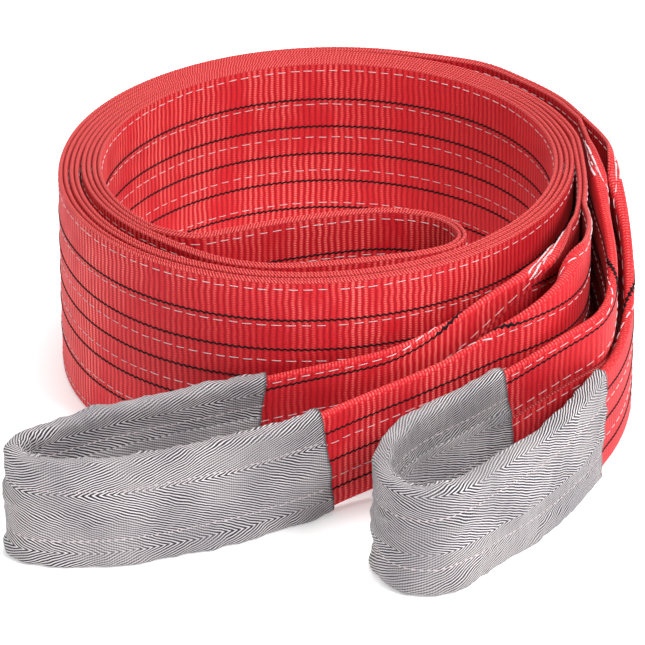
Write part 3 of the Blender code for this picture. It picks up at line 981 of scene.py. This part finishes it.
def sleeve_swell(strip, s, height, side, half, seed):
    """How far a sleeve's cloth stands off the web: channels between its seams, puckers and wrinkles."""
    seam = np.abs(np.abs(height) - SLEEVE_SEAMS * half)
    open_cloth = 1.0 - np.exp(-(seam / CHANNEL_EDGE) ** 2)
    pucker = PUCKER * (0.5 + 0.5 * np.sin(2 * np.pi * s / PUCKER_PITCH + PUCKER_LEAN * height))
    out = CHANNEL * open_cloth + pucker * np.exp(-(seam / PUCKER_REACH) ** 2)
    crease = np.empty(s.shape)
    for index in np.ndindex(s.shape):
        broad = wrinkle(s[index], height[index], BROAD_GRAIN, seed + side[index])
        fine = wrinkle(s[index], height[index], FINE_GRAIN, seed + FINE_SEED + side[index])
        crease[index] = BROAD_WRINKLE * max(broad, BROAD_LOW) + FINE_WRINKLE * fine
    out += np.maximum(crease, HOLLOW) * (SEAM_CALM + (1.0 - SEAM_CALM) * open_cloth)
    turning = np.clip(np.abs(strip.read(s, strip.turn)) / GATHER_TURN, 0.0, 1.0)
    wave = 0.5 + 0.5 * np.sin(2 * np.pi * s / GATHER_PITCH)
    return np.maximum(out + GATHER * turning * np.maximum(side, 0.0) * wave, 0.0)


def sleeve(name, strip, bare, cuts, seed, node, material):
    """A sleeve: a wrapped cloth tube round the folded web of one eye."""
    low, high = strip.s[0] + bare[0], strip.s[-1] - bare[1]
    part = np.linspace(0.0, 1.0, round((high - low) / SLEEVE_STEP) + 1)
    half = strip.read(low + (high - low) * part, strip.half)
    across, height, nx, nz = sleeve_columns(half)
    reach = height / half[:, None]
    first, last = [slant * reach + notch * (1.0 - np.abs(reach)) for slant, notch in cuts]
    s = low + first + (high - low - first + last) * part[:, None]
    side = np.sign(nx) * (np.abs(nx) > 0.5)
    middle = strip.read(s, strip.middle)
    lift = sleeve_swell(strip, s, height, side, half[:, None], seed)
    faces = []
    for depth, floor in zip((SLEEVE_WALL / 2, -SLEEVE_WALL / 2), SLEEVE_FLOOR):
        x, y = strip.beside(s, across + nx * (lift + depth))
        z = middle + height + nz * (lift + depth)
        faces.append(np.stack([x, y, np.maximum(z, floor)], axis=-1))
    rings = np.concatenate([faces[0], faces[1][:, ::-1]], axis=1)

    # Places round the cloth, measured on the ring in the middle of the sleeve
    ring = len(part) // 2
    steps = np.hypot(np.diff(across[ring] + nx[ring] * SLEEVE_LOOSE),
                     np.diff(height[ring] + nz[ring] * SLEEVE_LOOSE))
    girth = np.concatenate([[0.0], np.cumsum(steps)])
    places = np.concatenate([girth, girth[::-1], girth[:1]])
    along = np.concatenate([s, s[:, ::-1], s[:, :1]], axis=1)
    cloth = np.stack([along, np.broadcast_to(places, along.shape)], axis=-1)
    cut_edge = np.zeros(rings.shape[:2])
    cut_edge[[0, -1]] = 1.0
    cut_edge[[1, -2]] = 0.5
    obj = tube_mesh(name, [(rings, cloth)], material, edge=cut_edge)
    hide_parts(node)


def seam_stitch(strip, s, height, side, half, seed):
    """One stitch of a sleeve's seam, on its swollen cloth."""
    swollen = sleeve_swell(strip, s, height, np.full(len(s), side), half, seed)
    web_face = PLY / 2 if side == TO_RIGHT else FLAP_FACE
    off = web_face + SLEEVE_AIR + SLEEVE_WALL + swollen + SEAM_RISES
    x, y = strip.beside(s[:, None], side * (off[:, None] + SEAM_HEIGHT * DIAMOND[None, :, 1]))
    z = strip.read(s, strip.middle)[:, None] + height[:, None] + SEAM_WIDTH * DIAMOND[None, :, 0]
    return np.stack([x, y, z], axis=-1), cloth_places(s, SEAM_SIDE)


def sleeve_stitches(name, strip, bare, seed, thread):
    """The sleeve's seams, on its outside and on the inside of the eye."""
    low, high = strip.s[0] + bare[0], strip.s[-1] - bare[1]
    tubes = []
    for side in (TO_RIGHT, TO_LEFT):
        for sign in (-1.0, 1.0):
            s0 = low + SEAM_ENDS[0]
            while s0 < high - SEAM_ENDS[1]:
                length = SEAM_STITCH * rng.uniform(0.85, 1.15)
                s = s0 + length * SEAM_PARTS
                half = strip.read(s, strip.half)
                height = sign * SLEEVE_SEAMS * half + rng.uniform(-SEAM_ASIDE, SEAM_ASIDE)
                tubes.append(seam_stitch(strip, s, height, side, half, seed))
                s0 += SEAM_PITCH * rng.uniform(0.95, 1.05)
    obj = tube_mesh(name, tubes, thread)


# -------- the sling

def lay_plies(prefix, plies, stretches, paints):
    """Both plies of some stretches of the doubled webbing, (name, line, start), with their threads."""
    faces = []
    for ply, side in zip(plies, (TO_RIGHT, TO_LEFT)):
        for name, line, start in stretches:
            strip = Strip(line, start, side * (PLY + PLY_GAP) / 2)
            node = f"{name}_{ply}_ply"
            web(node + "_web", strip, node, paints["red"])
            faces.append((strip, side, 0.0, 0.0))
    dress(prefix, faces, paints["black"], paints["white"])


def build_half(prefix, half, coil_end, root, start, paints):
    """One half, from the middle loop to the root of its eye."""
    first = coil_points(COIL_START, SECOND_TURN, half)
    coil = coil_points(SECOND_TURN, coil_end, half)
    second = np.vstack([coil, run_out(half, coil_end, root)[1:]])
    turn_start = start + distances(first)[-1]
    stretches = [(prefix + "_first_turn", first, start), (prefix + "_second_turn", second, turn_start)]
    lay_plies(prefix, ("inner", "outer"), stretches, paints)
    return second, turn_start + distances(second)[-1]


def build_eye(prefix, strip, bare, cuts, seed, paints, sleeve_material):
    """One eye: its webbing with its threads, and its sleeve."""
    web(f"{prefix}_eye_webbing", strip, f"{prefix}_eye_web", paints["red"])
    total = strip.run[-1]
    faces = [(strip, TO_RIGHT, 0.0, total - bare[0] - HIDDEN),
             (strip, TO_RIGHT, total - bare[1] - HIDDEN, 0.0),
             (strip, TO_LEFT, 0.0, total - INNER_THREADS),
             (strip, TO_LEFT, total - INNER_THREADS, 0.0)]
    dress(prefix + "_eye", faces, paints["black"], paints["white"])
    sleeve(f"{prefix}_eye_sleeve_cloth", strip, bare, cuts, seed, f"{prefix}_eye_sleeve", sleeve_material)
    sleeve_stitches(f"{prefix}_eye_sleeve_seams", strip, bare, seed, paints["seam"])


def root_tacks(name, strip, tacks, white):
    """Bar tacks at the root of an eye: close rows of long stitches, sewn over and over."""
    tubes = []
    lift = PLY / 2 + TACK_HEIGHT * TACK_RISES
    for start, end, v_start, v_end, rows in tacks:
        s_start, s_end = [s if s > 0.0 else strip.run[-1] + s for s in (start, end)]
        for row in range(rows):
            v0 = v_start + TACK_ROW * row
            v1 = v_end + TACK_ROW * row
            s = s_start + rng.uniform(0.0, TACK_START)
            while s < s_end:
                length = TACK_LENGTH * rng.uniform(0.8, 1.2)
                part = s + length * TACK_PARTS
                v = v0 + (v1 - v0) * (part - s_start) / (s_end - s_start)
                tubes.append(thread_tube(strip, strip.s[0] + part, v, TO_RIGHT, TACK_WIDTH, TACK_HEIGHT,
                                         lift))
                s += length * rng.uniform(0.98, 1.10)
    obj = tube_mesh(name, tubes, white)


def main():
    """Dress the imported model."""
    add_camera()
    add_world()
    for light in LIGHTS:
        add_light(*light)
    add_floor()
    add_backdrop()
    paints = {"red": webbing_paint()}
    for key, thread in THREADS.items():
        paints[key] = thread_paint(*thread)
    loop = middle_loop()
    start = distances(loop)[-1] / 2
    lay_plies("middle_loop", ("inside", "outside"), [("middle_loop", loop, -start)], paints)
    left_line, left_root = build_half("left_half", LEFT, LEFT_COIL_END, LEFT_RUN_OUT, start, paints)
    right_line, right_root = build_half("right_half", RIGHT, RIGHT_COIL_END, RIGHT_RUN_OUT, start, paints)
    left_eye = eye_strip(LEFT_EYE, left_line, left_root, LEFT_TAPER, LEFT_FOLD)
    build_eye("left", left_eye, LEFT_BARE, LEFT_CUTS, LEFT_SEED, paints, sleeve_paint(LEFT_TWILL))
    right_eye = eye_strip(RIGHT_EYE, right_line, right_root, RIGHT_TAPER, RIGHT_FOLD)
    build_eye("right", right_eye, RIGHT_BARE, RIGHT_CUTS, RIGHT_SEED, paints, sleeve_paint(RIGHT_TWILL))
    root_tacks("left_root_tacks", left_eye, LEFT_TACKS, paints["white"])
    root_tacks("right_root_tacks", right_eye, RIGHT_TACKS, paints["white"])


main()
